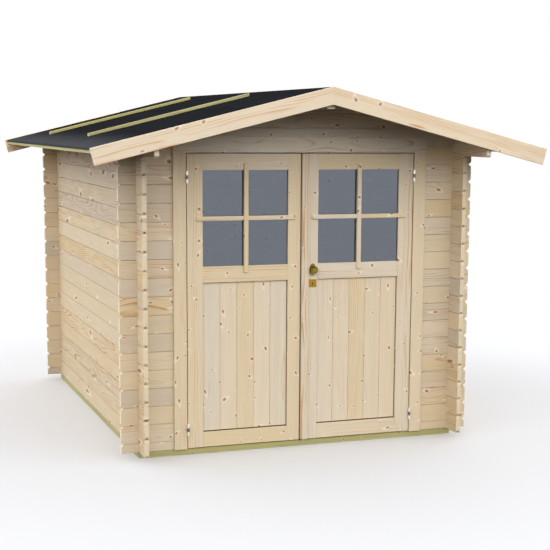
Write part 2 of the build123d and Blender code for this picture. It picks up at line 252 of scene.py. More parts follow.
@dataclass(frozen=True)
class WoodFinish:
    """Planed softwood, shown by its growth rings, streaks, fibres and knots.

    Rings are the distance of a point from the tree's centre line, folded into years: each year darkens
    slowly and ends in a sharp edge. A board's own chances choose its tone, how strongly its rings show and
    how far apart they lie, so most boards are plain and a few are lively. Real rings are 2 to 4 mm apart;
    they are drawn coarser so that they show.
    """

    name: str
    pale: str
    warm: str
    grey: str
    latewood: str
    end: str
    knot: str = "#b57b42"
    heart: str = "#84502a"
    fleck: str = "#f4e8d4"
    streak_warmth: float = 0.9
    warm_range: Pair = (0.35, 1.5)
    grey_rarity: float = 3.0
    sawn_share: float = 0.7
    mottle: float = 0.14
    ring: float = 10.0
    ring_spread: float = 1.6
    ring_swing: float = 10.0
    ring_relief: float = 0.6
    bend: float = 60.0
    figure: Pair = (0.3, 1.6)
    figure_rarity: float = 1.8
    latewood_sharpness: float = 4.0
    latewood_edge: float = 0.86
    year_strength: Pair = (0.25, 1.2)
    fade_range: Pair = (0.35, 0.6)
    knot_cell: float = 110.0
    knot_scatter: float = 0.9
    knot_share: float = 0.4
    knot_radius: Pair = (5.5, 13.0)
    knot_rarity: float = 2.0
    knot_along: float = 0.75
    knot_turn: Pair = (25.0, 335.0)
    wobble_size: float = 12.0
    wobble: float = 5.0
    relief: float = 0.4
    relief_strength: float = 0.25
    roughness: float = 0.6
    gloss: float = 0.2

    @cache
    def material(self) -> Material:
        """Make the material, laying each mark over the pale wood by its share.

        Returns:
            The new material.
        """
        material, tree, shader = blank_material(self.name)
        grain, tone, sawn = (node(tree, "Attribute", attribute_name=name).outputs
                             for name in (GRAIN, TONE, END_GRAIN))
        pick = node(tree, "SeparateXYZ", {0: tone["Vector"]}).outputs
        noise = self.noises(tree, grain["Vector"])
        core, heart, pale = self.knots(tree, grain["Vector"])
        rings = self.rings(tree, grain["Vector"], noise, pale, pick["Y"])
        warmth = node(tree, "Math", {0: noise["streak"], 1: self.streak_warmth, 2: pick["X"]},
                      operation="MULTIPLY_ADD")
        cool, warm = self.warm_range
        warmth = node(tree, "MapRange", {"Value": warmth, "From Min": cool, "From Max": warm})
        dull = node(tree, "Math", {0: pick["Z"], 1: self.grey_rarity}, operation="POWER")
        cut = node(tree, "Math", {0: sawn["Fac"], 1: self.sawn_share}, operation="MULTIPLY")
        colour = linear(self.pale)
        layers = ((warmth, self.warm), (dull, self.grey), (rings, self.latewood), (pale, self.fleck),
                  (core, self.knot), (heart, self.heart), (cut, self.end))
        for share, over in layers:
            mixed = node(tree, "Mix", {0: share, MIX_A: colour, MIX_B: linear(over)}, data_type="RGBA")
            colour = mixed.outputs[MIX_RESULT]
        light = 1 - self.mottle
        for name in ("fibre", "streak"):
            light = node(tree, "Math", {0: noise[name], 1: self.mottle, 2: light}, operation="MULTIPLY_ADD")
        colour = node(tree, "VectorMath", {0: colour, "Scale": light}, operation="SCALE")
        height = node(tree, "Math", {0: rings, 1: self.ring_relief, 2: noise["fibre"]},
                      operation="MULTIPLY_ADD")
        bump = node(tree, "Bump", {"Strength": self.relief_strength, "Distance": self.relief * MM,
                                   "Height": height})
        feed(tree, shader, {"Base Color": colour, "Normal": bump, "Roughness": self.roughness,
                            "Specular IOR Level": self.gloss})
        return material

    def noises(self, tree: Tree, grain: Socket) -> dict[str, Node]:
        """Noises drawn out along the grain.

        Args:
            tree: The material's tree.
            grain: The board's own coordinates, in metres.

        Returns:
            The noises by name.
        """
        made = {}
        for name, spots in GRAIN_NOISES.items():
            scale = np.divide(1, np.array([spots.along, spots.across, spots.across]) * MM)
            place = node(tree, "VectorMath", {0: grain, 1: scale.tolist()}, operation="MULTIPLY")
            made[name] = node(tree, "TexNoise", {"Vector": place, "Scale": 1.0, "Detail": spots.detail})
        return made

    def knots(self, tree: Tree, grain: Socket) -> tuple[Node, Node, Node]:
        """Scatter knots over the board's face, one at most in each cell.

        Each knot is a branch cut aslant. The way from the cell's point, turned by a chance angle and
        measured in knot radii, gives an oval core with a darker heart. Longer ovals round and beside it,
        drawn out the same way, give the pale fibres that close over the branch.

        Args:
            tree: The material's tree.
            grain: The board's own coordinates, in metres.

        Returns:
            The brown core, its heart and the pale wood, each from 0 to 1.
        """
        wobble = node(tree, "TexNoise", {"Vector": grain, "Scale": 1 / (self.wobble_size * MM),
                                         "Detail": 1.0})
        face = node(tree, "VectorMath", {0: grain, 1: (self.knot_along, 1.0, 0.0)}, operation="MULTIPLY")
        face = node(tree, "VectorMath", {0: wobble.outputs["Color"], 1: (self.wobble * MM,) * 3, 2: face},
                    operation="MULTIPLY_ADD")
        cell = node(tree, "TexVoronoi", {"Vector": face, "Scale": 1 / (self.knot_cell * MM),
                                         "Randomness": self.knot_scatter}, voronoi_dimensions="2D").outputs
        chance = node(tree, "SeparateColor", {0: cell["Color"]}).outputs
        there = node(tree, "Math", {0: chance[0], 1: 1 - self.knot_share}, operation="GREATER_THAN")
        rare = node(tree, "Math", {0: chance[1], 1: self.knot_rarity}, operation="POWER")
        small, large = (radius * MM for radius in self.knot_radius)
        size = node(tree, "MapRange", {"Value": rare, "To Min": small, "To Max": large})
        least, most = (math.radians(angle) for angle in self.knot_turn)
        turn = node(tree, "MapRange", {"Value": chance[2], "To Min": least, "To Max": most})
        way = node(tree, "VectorMath", {0: face, 1: cell["Position"]}, operation="SUBTRACT")
        way = node(tree, "VectorRotate", {"Vector": way, "Angle": turn}, rotation_type="Z_AXIS")
        way = node(tree, "VectorMath", {0: way, 1: size}, operation="DIVIDE")
        shares = []
        for mark in (KNOT_CORE, KNOT_HEART, PALE_COLLAR, PALE_TAIL):
            moved = node(tree, "VectorMath", {0: way, 1: (mark.shift, 0.0, 0.0)}, operation="SUBTRACT")
            drawn = node(tree, "VectorMath", {0: moved, 1: (*mark.stretch, 0.0)}, operation="MULTIPLY")
            away = node(tree, "VectorMath", {0: drawn}, operation="LENGTH").outputs["Value"]
            share = node(tree, "MapRange", {"Value": away, "From Min": mark.outer, "From Max": mark.inner,
                                            "To Max": mark.strength}, interpolation_type="SMOOTHSTEP")
            shares.append(node(tree, "Math", {0: share, 1: there}, operation="MULTIPLY"))
        core, heart, collar, tail = shares
        return core, heart, node(tree, "Math", {0: collar, 1: tail}, operation="MAXIMUM")

    def rings(self, tree: Tree, grain: Socket, noise: dict[str, Node], aside: Node,
              liveliness: Socket) -> Node:
        """Growth rings: distance from the tree's centre line, bent by noise and knots and folded into years.

        Args:
            tree: The material's tree.
            grain: The board's own coordinates, in metres.
            noise: The noises drawn out along the grain.
            aside: Wood near a knot, where the rings swing aside.
            liveliness: The board's chance of a strong figure.

        Returns:
            The strength of the dark latewood, from 0 to 1.
        """
        square = node(tree, "VectorMath", {0: grain, 1: (0.0, 1.0, 1.0)}, operation="MULTIPLY")
        radius = node(tree, "VectorMath", {0: square}, operation="LENGTH").outputs["Value"]
        for push, reach in ((noise["bend"], self.bend), (aside, self.ring_swing)):
            radius = node(tree, "Math", {0: push, 1: reach * MM, 2: radius}, operation="MULTIPLY_ADD")
        lively = node(tree, "Math", {0: liveliness, 1: self.figure_rarity}, operation="POWER")
        close = self.ring * MM
        spacing = node(tree, "MapRange", {"Value": lively, "To Min": close,
                                          "To Max": self.ring_spread * close})
        years = node(tree, "Math", {0: radius, 1: spacing}, operation="DIVIDE")
        season = node(tree, "Math", {0: years}, operation="FRACT")
        late = node(tree, "Math", {0: season, 1: self.latewood_sharpness}, operation="POWER")
        edge = node(tree, "MapRange", {"Value": season, "From Min": 1.0, "From Max": self.latewood_edge},
                    interpolation_type="SMOOTHSTEP")
        count = node(tree, "Math", {0: years}, operation="FLOOR")
        year = node(tree, "TexWhiteNoise", {"W": count}, noise_dimensions="1D").outputs["Value"]
        weak, hard = self.year_strength
        year = node(tree, "MapRange", {"Value": year, "To Min": weak, "To Max": hard})
        quiet, strong = self.figure
        figure = node(tree, "MapRange", {"Value": lively, "To Min": quiet, "To Max": strong})
        gone, clear = self.fade_range
        fade = node(tree, "MapRange", {"Value": noise["fade"], "From Min": gone, "From Max": clear},
                    interpolation_type="SMOOTHSTEP")
        for factor in (edge, year, figure, fade):
            late = node(tree, "Math", {0: late, 1: factor}, operation="MULTIPLY", use_clamp=True)
        return late


@dataclass(frozen=True)
class FeltFinish:
    """Bitumen roofing felt: dark, dull with mineral grit, faintly mottled, with a painted sheen that pales it
    near the eaves.

    Real grit is 1 mm across and is drawn coarser so that it shows.
    """

    name: str = "mineral_bitumen_felt"
    dark: str = "#111213"
    light: str = "#2a2b2d"
    # Painted sheen: the pale colour the felt takes near the eaves, between sheen_from and sheen_to across the
    # roof.
    sheen: str = "#4b4c4e"
    sheen_from: float = 1080.0
    sheen_to: float = 1480.0
    grit: float = 5.0
    grit_share: float = 0.6
    cloud: float = 180.0
    cloud_share: float = 0.5
    sheen_mottle_range: Pair = (0.3, 0.7)
    least_sheen_mottle: float = 0.65
    relief: float = 1.2
    relief_strength: float = 0.5
    roughness: float = 0.95

    @cache
    def material(self) -> Material:
        """Make the material.

        Returns:
            The new material.
        """
        material, tree, shader = blank_material(self.name)
        place = node(tree, "TexCoord").outputs["Object"]
        grit, cloud = (node(tree, "TexNoise", {"Vector": place, "Scale": 1 / (size * MM), "Detail": 3.0})
                       for size in (self.grit, self.cloud))
        share = node(tree, "Math", {0: grit, 1: self.grit_share}, operation="MULTIPLY")
        share = node(tree, "Math", {0: cloud, 1: self.cloud_share, 2: share}, operation="MULTIPLY_ADD")
        # Painted sheen: the felt is lightened toward the eaves as if grazing light glinted there, broken up
        # by the grit's mottle.
        across = node(tree, "SeparateXYZ", {0: place}).outputs["X"]
        across = node(tree, "Math", {0: across}, operation="ABSOLUTE")
        sheen_share = node(tree, "MapRange", {"Value": across, "From Min": self.sheen_from * MM,
                                       "From Max": self.sheen_to * MM}, interpolation_type="SMOOTHSTEP")
        mottle_low, mottle_high = self.sheen_mottle_range
        sheen_mottle = node(tree, "MapRange", {"Value": share, "From Min": mottle_low, "From Max": mottle_high,
                                       "To Min": self.least_sheen_mottle})
        sheen_share = node(tree, "Math", {0: sheen_share, 1: sheen_mottle}, operation="MULTIPLY")
        colour = linear(self.dark)
        for part, over in ((share, self.light), (sheen_share, self.sheen)):
            mixed = node(tree, "Mix", {0: part, MIX_A: colour, MIX_B: linear(over)}, data_type="RGBA")
            colour = mixed.outputs[MIX_RESULT]
        bump = node(tree, "Bump", {"Strength": self.relief_strength, "Distance": self.relief * MM,
                                   "Height": grit})
        feed(tree, shader, {"Base Color": colour, "Normal": bump, "Roughness": self.roughness,
                            "Specular IOR Level": 0.0})
        return material


@dataclass(frozen=True)
class GlassFinish:
    """Float glass before a dark room: it mirrors bright surroundings, bluish, and shows little of the room.

    Its index is above that of clear glass, because the panes mirror more than bare ones.
    """

    name: str = "float_glass"
    tint: str = "#969ea8"
    mirror: str = "#e6ecfb"
    ior: float = 2.35

    @cache
    def material(self) -> Material:
        """Make the material.

        Returns:
            The new material.
        """
        material, tree, shader = blank_material(self.name)
        feed(tree, shader, {"Base Color": linear(self.tint), "Specular Tint": linear(self.mirror),
                            "Roughness": 0.0, "Transmission Weight": 1.0, "IOR": self.ior})
        return material


@dataclass(frozen=True)
class MetalFinish:
    """Plated or lacquered metal with a faintly uneven polish."""

    name: str
    colour: str
    shade: str
    roughness: Pair
    mottle: float = 9.0

    @cache
    def material(self) -> Material:
        """Make the material.

        Returns:
            The new material.
        """
        material, tree, shader = blank_material(self.name)
        place = node(tree, "TexCoord").outputs["Object"]
        cloud = node(tree, "TexNoise", {"Vector": place, "Scale": 1 / (self.mottle * MM), "Detail": 2.0})
        colour = node(tree, "Mix", {0: cloud, MIX_A: linear(self.colour), MIX_B: linear(self.shade)},
                      data_type="RGBA").outputs[MIX_RESULT]
        low, high = self.roughness
        polish = node(tree, "MapRange", {"Value": cloud, "To Min": low, "To Max": high})
        feed(tree, shader, {"Base Color": colour, "Roughness": polish, "Metallic": 1.0})
        return material


# Planed wall spruce is pale straw with soft rings and brown knots; its near-white end grain is partly real
# tone, partly painted highlight on lit board ends.
WALL = WoodFinish("planed_wall_spruce", "#e0d0b6", "#dcc69c", "#cfc1ab", "#c08a58", "#fff4dc", knot_along=0.6,
                  knot_share=0.5, knot_radius=(6.0, 16.0))
# Side boards show more figure and longer knots.
KNOTTY = replace(WALL, name="knotty_wall_spruce", latewood="#bd8150", end="#e0d0b0", figure=(0.35, 2.6),
                 knot_along=0.3, knot_share=0.3, knot_radius=(9.0, 20.0), knot_cell=120.0)
# Paler, less yellow copy of the wall spruce for the gable and door head: painted light that lifts and cools
# their shade under the roof.
SHADE_LIFTED = replace(WALL, name="shade_lifted_gable_spruce", pale="#e9dfcf", warm="#e2d4ba", grey="#d8cdbc",
                 latewood="#bd8f66", knot_radius=(5.0, 12.0))
# Bargeboards are the palest wood, with clear straight rings and reddish knots.
PLANED = WoodFinish("planed_spruce_board", "#ebdabe", "#e8d2aa", "#e6d2b4", "#cf9056", "#f0dfbd",
                    knot="#c39a72", heart="#9c6c46", ring=9.0, bend=18.0, figure=(1.6, 2.8), knot_cell=150.0,
                    knot_radius=(8.0, 15.0))
# Sanded door wood is even, with straight rings and many small knots; the plates round the panel are painted
# dark as a shadow line.
JOINERY = WoodFinish("sanded_joinery_spruce", "#e3d3b9", "#dfc99f", "#ddd0b9", "#c5905a", "#ecdcba",
                     bend=28.0, figure=(0.3, 1.9), knot_share=0.65, knot_radius=(4.8, 10.5))
SHADOW_LINE_SPRUCE = WoodFinish("painted_shadow_groove_spruce", "#7a6a54", "#74644a", "#6e5f4b", "#64503a", "#7a6a54")
# Roof and floor boards are of plainer, greyer wood.
BOARDS = WoodFinish("planed_roof_and_floor_spruce", "#cfc4b2", "#cbbb9c", "#c2b8a6", "#b08a64", "#e2d0ac")
# The salts that preserve pine turn it olive green.
TREATED = WoodFinish("pressure_treated_pine", "#c1ba82", "#b0a966", "#b4ac79", "#8a8048", "#c3bc86",
                     knot="#7a6d40", heart="#57492a", fleck="#cbc596", ring=8.0, bend=30.0, figure=(1.0, 2.4))
# The knob's brass is browner than the plate's and zinc is nearly white; the sleeves and the lock are darkened
# as painted shade.
AGED_BRASS = MetalFinish("aged_brass", "#a08a36", "#76642a", (0.25, 0.45))
BRASS = MetalFinish("lacquered_brass", "#b48d2e", "#94752a", (0.22, 0.4))
ZINC = MetalFinish("zinc_plated_steel", "#fffaf2", "#f2ede6", (0.3, 0.5))
# Painted shade: the hinge sleeves are darkened to stand for the shade and dark reflection between the bright
# pins.
SHADE_DARKENED_STEEL = MetalFinish("shade_darkened_plated_steel", "#7e8083", "#6a6c70", (0.3, 0.5))
# Painted shade: the plug behind the keyhole is near black to stand for the shade inside the hole.
KEYHOLE_SHADE = MetalFinish("keyhole_shade_steel", "#17140f", "#0c0b09", (0.5, 0.7))
FELT, GLASS = FeltFinish(), GlassFinish()

Finish = WoodFinish | FeltFinish | GlassFinish | MetalFinish


@dataclass(frozen=True)
class Solid:
    """Closed shape: points along, across and through a timber, and the faces that join them, ends last."""

    points: Array
    faces: list[Array]
    ends: int = 0


@dataclass(frozen=True)
class Joint:
    """Edge of a matched board: its eased corner, the gap to its neighbour and the gap's depth."""

    ease: float
    gap: float
    deep: float


def rounded(low: float, high: float, back: float, front: float, radius: float) -> Array:
    """Rectangle with rounded corners, as quarter circles about four centres.

    Args:
        low, high: Limits across the timber.
        back, front: Limits through the timber.
        radius: Corner radius.

    Returns:
        The outline's points, turning from across to through.
    """
    turn = np.linspace(0, math.pi / 2, ARC_STEPS)
    starts = np.arange(4) * math.pi / 2
    angle = (starts[:, None] + turn).ravel()
    across = np.repeat([high - radius, low + radius, low + radius, high - radius], ARC_STEPS)
    through = np.repeat([front - radius, front - radius, back + radius, back + radius], ARC_STEPS)
    return np.stack([across + radius * np.cos(angle), through + radius * np.sin(angle)], axis=1)


def matched(low: float, high: float, faces: Pair, joint: Joint, breaks: Sequence[float] = (),
            groove: Pair | None = None) -> Array:
    """Outline of a board that joins its neighbours: two faces with eased edges, and a gap beside each.

    Near each face the board stops short of its neighbour by half the gap, so that a dark line shows.

    Args:
        low, high: Its limits across.
        faces: Places of its two faces.
        joint: The form of its edges.
        breaks: Places across where its end changes direction.
        groove: Width and depth of the groove in its lower edge.

    Returns:
        The outline (across, through).
    """
    back, front = sorted(faces)
    ease, shy, deep = joint.ease, joint.gap / 2, joint.deep
    across = [low + ease, *breaks, high - ease]
    outline = [(place, back) for place in across]
    outline += [(high - shy, back + ease), (high - shy, back + deep), (high, back + deep),
                (high, front - deep), (high - shy, front - deep), (high - shy, front - ease)]
    outline += [(place, front) for place in reversed(across)]
    outline += [(low + shy, front - ease), (low + shy, front - deep), (low, front - deep)]
    if groove:
        wide, tall = groove
        middle = (back + front) / 2
        outline += [(low, middle + wide / 2), (low + tall, middle + wide / 2),
                    (low + tall, middle - wide / 2), (low, middle - wide / 2)]
    outline += [(low, back + deep), (low + shy, back + deep), (low + shy, back + ease)]
    return np.array(outline)


def loft(sections: Sequence[Array], stations: Sequence[Array | float],
         zones: Sequence[float] | None = None) -> Solid:
    """Carry a closed section along a straight path.

    Every ring is a section placed at its station, which may differ from corner to corner, so that an end
    can be square, mitred or notched. Neighbouring rings are joined by quads, and each end is closed by one
    face for each zone across the timber, the widest last: that one is the sawn end, and the others are its
    chamfers.

    Args:
        sections: Outline points (across, through), as many in each ring.
        stations: Places along the timber, one number or one array for each ring.
        zones: Limits across that split the end faces.

    Returns:
        The closed solid.
    """
    first = np.asarray(sections[0])
    size = len(first)
    area = np.sum(first[:, 0] * np.roll(first[:, 1], -1) - first[:, 1] * np.roll(first[:, 0], -1))
    points = np.concatenate([np.column_stack([np.broadcast_to(at, size), section])
                             for section, at in zip(sections, stations)])
    ring = np.arange(size)
    ahead = np.roll(ring, -1)
    quads = np.stack([ring, ahead, ahead + size, ring + size], axis=1)
    faces = [quad + size * step for step in range(len(sections) - 1) for quad in quads]
    last = size * (len(sections) - 1)
    limits = (first[:, 0].min(), first[:, 0].max()) if zones is None else zones
    for low, high in sorted(zip(limits[:-1], limits[1:]), key=lambda zone: zone[1] - zone[0]):
        inside = ring[(first[:, 0] >= low - TOUCH) & (first[:, 0] <= high + TOUCH)]
        faces += [inside[::-1], inside + last]
    if area < 0:
        faces = [face[::-1] for face in faces]
    return Solid(points, faces, 2)


def prism(outline: Array, start: Array | float, stop: Array | float,
          zones: Sequence[float] | None = None) -> Solid:
    """Loft of one outline between two ends."""
    return loft([outline] * 2, [start, stop], zones)


def slab(top: Array, bottom: Array) -> Solid:
    """Sheet between two grids of points, closed round its edge.

    Args:
        top: Grid of points (rows, columns, 3) on the face that looks up.
        bottom: Grid of the same shape under it.

    Returns:
        The closed solid.
    """
    rows, columns = top.shape[:2]
    under = rows * columns
    index = np.arange(under).reshape(rows, columns)
    quads = np.stack([index[:-1, :-1], index[1:, :-1], index[1:, 1:], index[:-1, 1:]], axis=-1).reshape(-1, 4)
    rim = np.concatenate([index[0, :-1], index[:-1, -1], index[-1, :0:-1], index[:0:-1, 0]])
    ahead = np.roll(rim, -1)
    walls = np.stack([rim, ahead, ahead + under, rim + under], axis=1)
    faces = np.concatenate([quads, quads[:, ::-1] + under, walls])
    points = np.concatenate([top.reshape(-1, 3), bottom.reshape(-1, 3)])
    return Solid(points, list(faces))


@dataclass(frozen=True)
class Trunk:
    """The tree that boards are sawn from, with its centre line as the origin of their grain."""

    length: float = 30000.0
    square_share: float = 0.25
    square_from: float = 90.0
    square_across: float = 90.0
    square_through: float = 50.0
    beside_across: float = 110.0
    beside_from: float = 28.0
    beside_through: float = 70.0

    def place(self) -> tuple[float, float, float]:
        """Saw a board at a chance place.

        Most boards lie beside the centre line, which gives arched figures, and some stand square to it, which
        gives straight lines.

        Returns:
            The board's middle along, across and through, from the centre line.
        """
        along, across, through = CHANCE.random(3)
        if CHANCE.random() < self.square_share:
            return (along * self.length, self.square_from + self.square_across * across,
                    self.square_through * (through - HALF))
        aside = through - HALF
        deep = math.copysign(self.beside_from + self.beside_through * abs(aside), aside)
        return along * self.length, self.beside_across * (across - HALF), deep


@dataclass
class Piece:
    """Solids of one piece, gathered as arrays and joined in one mesh, each board with its own grain."""

    name: str
    trunk: Trunk = Trunk()
    points: list[Array] = field(default_factory=list)
    faces: list[list[int]] = field(default_factory=list)
    grain: list[Array] = field(default_factory=list)
    tones: list[Array] = field(default_factory=list)
    sawn: list[Array] = field(default_factory=list)
    count: int = 0

    def board(self, solids: Sequence[Solid], axes: Array, origin: Sequence[float] = (0, 0, 0)) -> "Piece":
        """Add one board in one or more solids that share its grain.

        Args:
            solids: The board's solids, in its own directions.
            axes: Directions along, across and through the board.
            origin: Point from which the solids are measured.

        Returns:
            The piece.
        """
        every = np.concatenate([solid.points for solid in solids])
        middle = (every.min(axis=0) + every.max(axis=0)) / 2
        pith = self.trunk.place()
        tone = CHANCE.random(3)
        for solid in solids:
            self.faces += [(face + self.count).tolist() for face in solid.faces]
            self.points.append(np.asarray(origin, float) + solid.points @ axes)
            self.grain.append((solid.points - middle + pith) * MM)
            self.tones.append(np.broadcast_to(tone, solid.points.shape))
            self.sawn.append(np.arange(len(solid.faces)) >= len(solid.faces) - solid.ends)
            self.count += len(solid.points)
        return self

    def bar(self, low: Sequence[float], high: Sequence[float], run: Run, arris: float) -> "Piece":
        """Add a straight timber that fills a box, with rounded edges and eased ends.

        Args:
            low, high: Opposite corners of the box.
            run: Which way the timber runs.
            arris: Radius of its edges.

        Returns:
            The piece.
        """
        axes = run.axes
        ends = np.sort(np.stack([axes @ np.asarray(low, float), axes @ np.asarray(high, float)]), axis=0)
        (start, inner, back), (stop, outer, front) = ends
        full = rounded(inner, outer, back, front, arris)
        ease = arris / 2
        small = rounded(inner + ease, outer - ease, back + ease, front - ease, arris - ease)
        return self.board([loft([small, full, full, small], [start, start + ease, stop - ease, stop])], axes)

    def finish(self, look: Finish, slot: str, *replaced: str, body: Body = Body.SHED) -> None:
        """Join the solids in one object, dress it and hang it on its body.

        Args:
            look: The finish.
            slot: The record's material slot; not used.
            replaced: CAD nodes that it stands for.
            body: The body that it rides on.
        """
        mesh = bpy.data.meshes.new(self.name)
        mesh.from_pydata((np.concatenate(self.points) * MM).tolist(), [], self.faces)
        for name, values in ((GRAIN, self.grain), (TONE, self.tones)):
            attribute = mesh.attributes.new(name, "FLOAT_VECTOR", "POINT")
            attribute.data.foreach_set("vector", np.concatenate(values).astype(np.float32).ravel())
        ends = mesh.attributes.new(END_GRAIN, "FLOAT", "FACE")
        ends.data.foreach_set("value", np.concatenate(self.sawn).astype(np.float32))
        mesh.materials.append(look.material())
        mesh.validate()
        mesh.update()
        made = add_object(self.name, mesh)
        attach(made, body.value)
        if replaced:
            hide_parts(*replaced)
        LOG.info("%s: %d faces on %s", self.name, len(mesh.polygons), body.value)


def dress_node(name: str, look: Finish) -> None:
    """Give a CAD node's object a new finish.

    Args:
        name: The node's name.
        look: The finish.
    """
    mesh = bpy.data.objects[name].data
    mesh.materials.clear()
    mesh.materials.append(look.material())
    LOG.info("%s: dressed in %s", name, look.name)


@dataclass
class RoofPlanes:
    """The two roof slopes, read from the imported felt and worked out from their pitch."""

    pitch: float = math.radians(14)
    felt: float = 4.0
    deck: float = 18.0

    def __post_init__(self) -> None:
        """Take the ridge, eaves and gable ends from the felt's box."""
        low, high = node_box("roof_felt_right")
        self.ridge = high[2]
        self.eaves, self.eaves_bottom = high[0], low[2]
        self.front, self.back = low[1], high[1]
        self.slope = math.tan(self.pitch)
        self.sine, self.cosine = math.sin(self.pitch), math.cos(self.pitch)
        self.peak = self.ridge - (self.felt + self.deck) / self.cosine

    def under_deck(self, x: float) -> float:
        """Height of the deck's underside at a distance from the centre."""
        return self.peak - abs(x) * self.slope

    def reach(self, heights: Array) -> Array:
        """Half the width under the deck at each height."""
        return (self.peak - heights) / self.slope

    def down(self, side: Side) -> Array:
        """Directions of a board that runs down a slope: downhill, along the ridge, and out of the roof."""
        sign = side.value
        return np.array([[sign * self.cosine, 0, -self.sine], [0, sign, 0],
                         [sign * self.sine, 0, self.cosine]])

    def plumb(self, x: float, through: Array) -> Array:
        """Distance downhill of an upright cut a level distance from the ridge, for heights above the roof."""
        return (x - through * self.sine) / self.cosine


@dataclass(frozen=True)
class BoardForm:
    """Form of a wall's boards: height and rake of the taper at a free end, and the joint between boards."""

    notch: float
    rake: float
    joint: Joint


@dataclass
class PlankWalls:
    """Walls of interlocking boards, notched where they cross at the corners and tapered at their ends."""

    roof: RoofPlanes
    board: float = 116.0
    wall: float = 28.0
    end_form: BoardForm = BoardForm(notch=17.0, rake=1.0, joint=Joint(ease=2.6, gap=2.4, deep=8.0))
    side_form: BoardForm = BoardForm(notch=16.0, rake=0.35, joint=Joint(ease=2.0, gap=3.4, deep=9.0))
    eaves_notch: float = 12.0
    tongue_gap: float = 8.0
    tongue_deep: float = 12.0
    slot: str = "wall_spruce"

    def __post_init__(self) -> None:
        """Take the walls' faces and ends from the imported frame."""
        side_low, side_high = node_box("left_wall")
        self.back_low, self.back_high = node_box("back_wall")
        self.jamb_low, self.jamb_high = node_box("front_wall_right")
        self.base = side_low[2]
        self.split = self.jamb_high[2]
        self.cross_x = -(side_low[0] + side_high[0]) / 2
        self.cross_y = (self.back_low[1] + self.back_high[1]) / 2
        self.wing = self.back_high[0]
        self.purlin_half = node_box("ridge_purlin")[1][0]
        self.quarter = self.board / 4

    def section(self, low: float, high: float, faces: Pair, breaks: Sequence[float]) -> Array:
        """Outline of an end wall's whole board, with the groove over the next board's tongue."""
        return matched(low, high, faces, self.end_form.joint, breaks, (self.tongue_gap, self.tongue_deep))

    def neck(self, heights: Pair, faces: Pair, cross: float) -> Solid:
        """The part of a board that passes through a crossing wall.

        Args:
            heights: Its lower and upper edge.
            faces: Places of its two faces.
            cross: The crossing wall's middle.

        Returns:
            The closed solid.
        """
        (low, high), (back, front) = heights, sorted(faces)
        outline = np.array([(low, back), (high, back), (high, front), (low, front)])
        return prism(outline, cross - self.wall / 2, cross + self.wall / 2)

    def crossed(self, outline: Array, ends: tuple[Array, Array], zones: Sequence[float],
                crossings: Sequence[float], neck: Pair, faces: Pair) -> list[Solid]:
        """Part a board where other walls cross it and join its lengths by necks.

        Args:
            outline: Its section.
            ends: Its two ends, corner by corner.
            zones: Heights that split its end faces.
            crossings: Middles of the walls that cross it.
            neck: Heights between which the necks run.
            faces: Places of its two faces.

        Returns:
            The lengths and the necks.
        """
        half = self.wall / 2
        edges = [ends[0], *(cross + step for cross in crossings for step in (-half, half)), ends[1]]
        lengths = [prism(outline, start, stop, zones) for start, stop in zip(edges[::2], edges[1::2])]
        return lengths + [self.neck(neck, faces, cross) for cross in crossings]

    def lay(self, piece: Piece, run: Run, heights: Pair, faces: Pair, ends: Pair, crossings: Sequence[float],
            free: tuple[bool, bool] = (True, True), half: bool = False) -> None:
        """Lay one board, with a neck of half its height at each crossing.

        A free end stands back by its rake within a notch of the board's edges.

        Args:
            piece: The wall that it belongs to.
            run: Which way it runs.
            heights: Its lower and upper edge.
            faces: Places of its two faces.
            ends: Places of its two ends.
            crossings: Middles of the walls that cross it.
            free: Whether each end is a free, tapered one.
            half: Whether it is a half board, sawn square along its lower edge.
        """
        low, high = heights
        form = self.side_form if run is Run.DEEP else self.end_form
        lower, upper = low + form.notch, high - form.notch
        breaks = (upper,) if half else (lower, upper)
        groove = None if half else (self.tongue_gap, self.tongue_deep)
        section = matched(low, high, faces, form.joint, breaks, groove)
        z = section[:, 0]
        set_back = form.rake * np.maximum(0, np.maximum((low if half else lower) - z, z - upper))
        tapered = (ends[0] + free[0] * set_back, ends[1] - free[1] * set_back)
        neck = (low if half else low + self.quarter, high - self.quarter)
        piece.board(self.crossed(section, tapered, (low, *breaks, high), crossings, neck, faces), run.axes)

    def side_wall(self, side: Side) -> None:
        """Full boards from the base to the eaves purlin, with free ends in front and behind.

        Args:
            side: Which wall.
        """
        name = f"{side.word}_wall"
        low, high = node_box(name)
        piece = Piece(f"{name}_boards")
        for course in range(round((high[2] - low[2]) / self.board)):
            bottom = low[2] + course * self.board
            self.lay(piece, Run.DEEP, (bottom, bottom + self.board), (low[0], high[0]), (low[1], high[1]),
                     (-self.cross_y, self.cross_y))
        piece.finish(KNOTTY, self.slot, name)

    def end_courses(self, piece: Piece, faces: Pair, ends: Pair, crossings: Sequence[float],
                    free: tuple[bool, bool] = (True, True)) -> None:
        """Boards of an end wall up to the gable: a half board on the base and whole ones above it.

        Args:
            piece: The wall.
            faces: Places of its faces, measured toward the front.
            ends: Places of its two ends.
            crossings: Middles of the side walls that cross it.
            free: Whether each end is a free, tapered one.
        """
        bottom, top = self.base, self.base + self.board / 2
        while top <= self.split + TOUCH:
            self.lay(piece, Run.ACROSS, (bottom, top), faces, ends, crossings, free, bottom == self.base)
            bottom, top = top, top + self.board

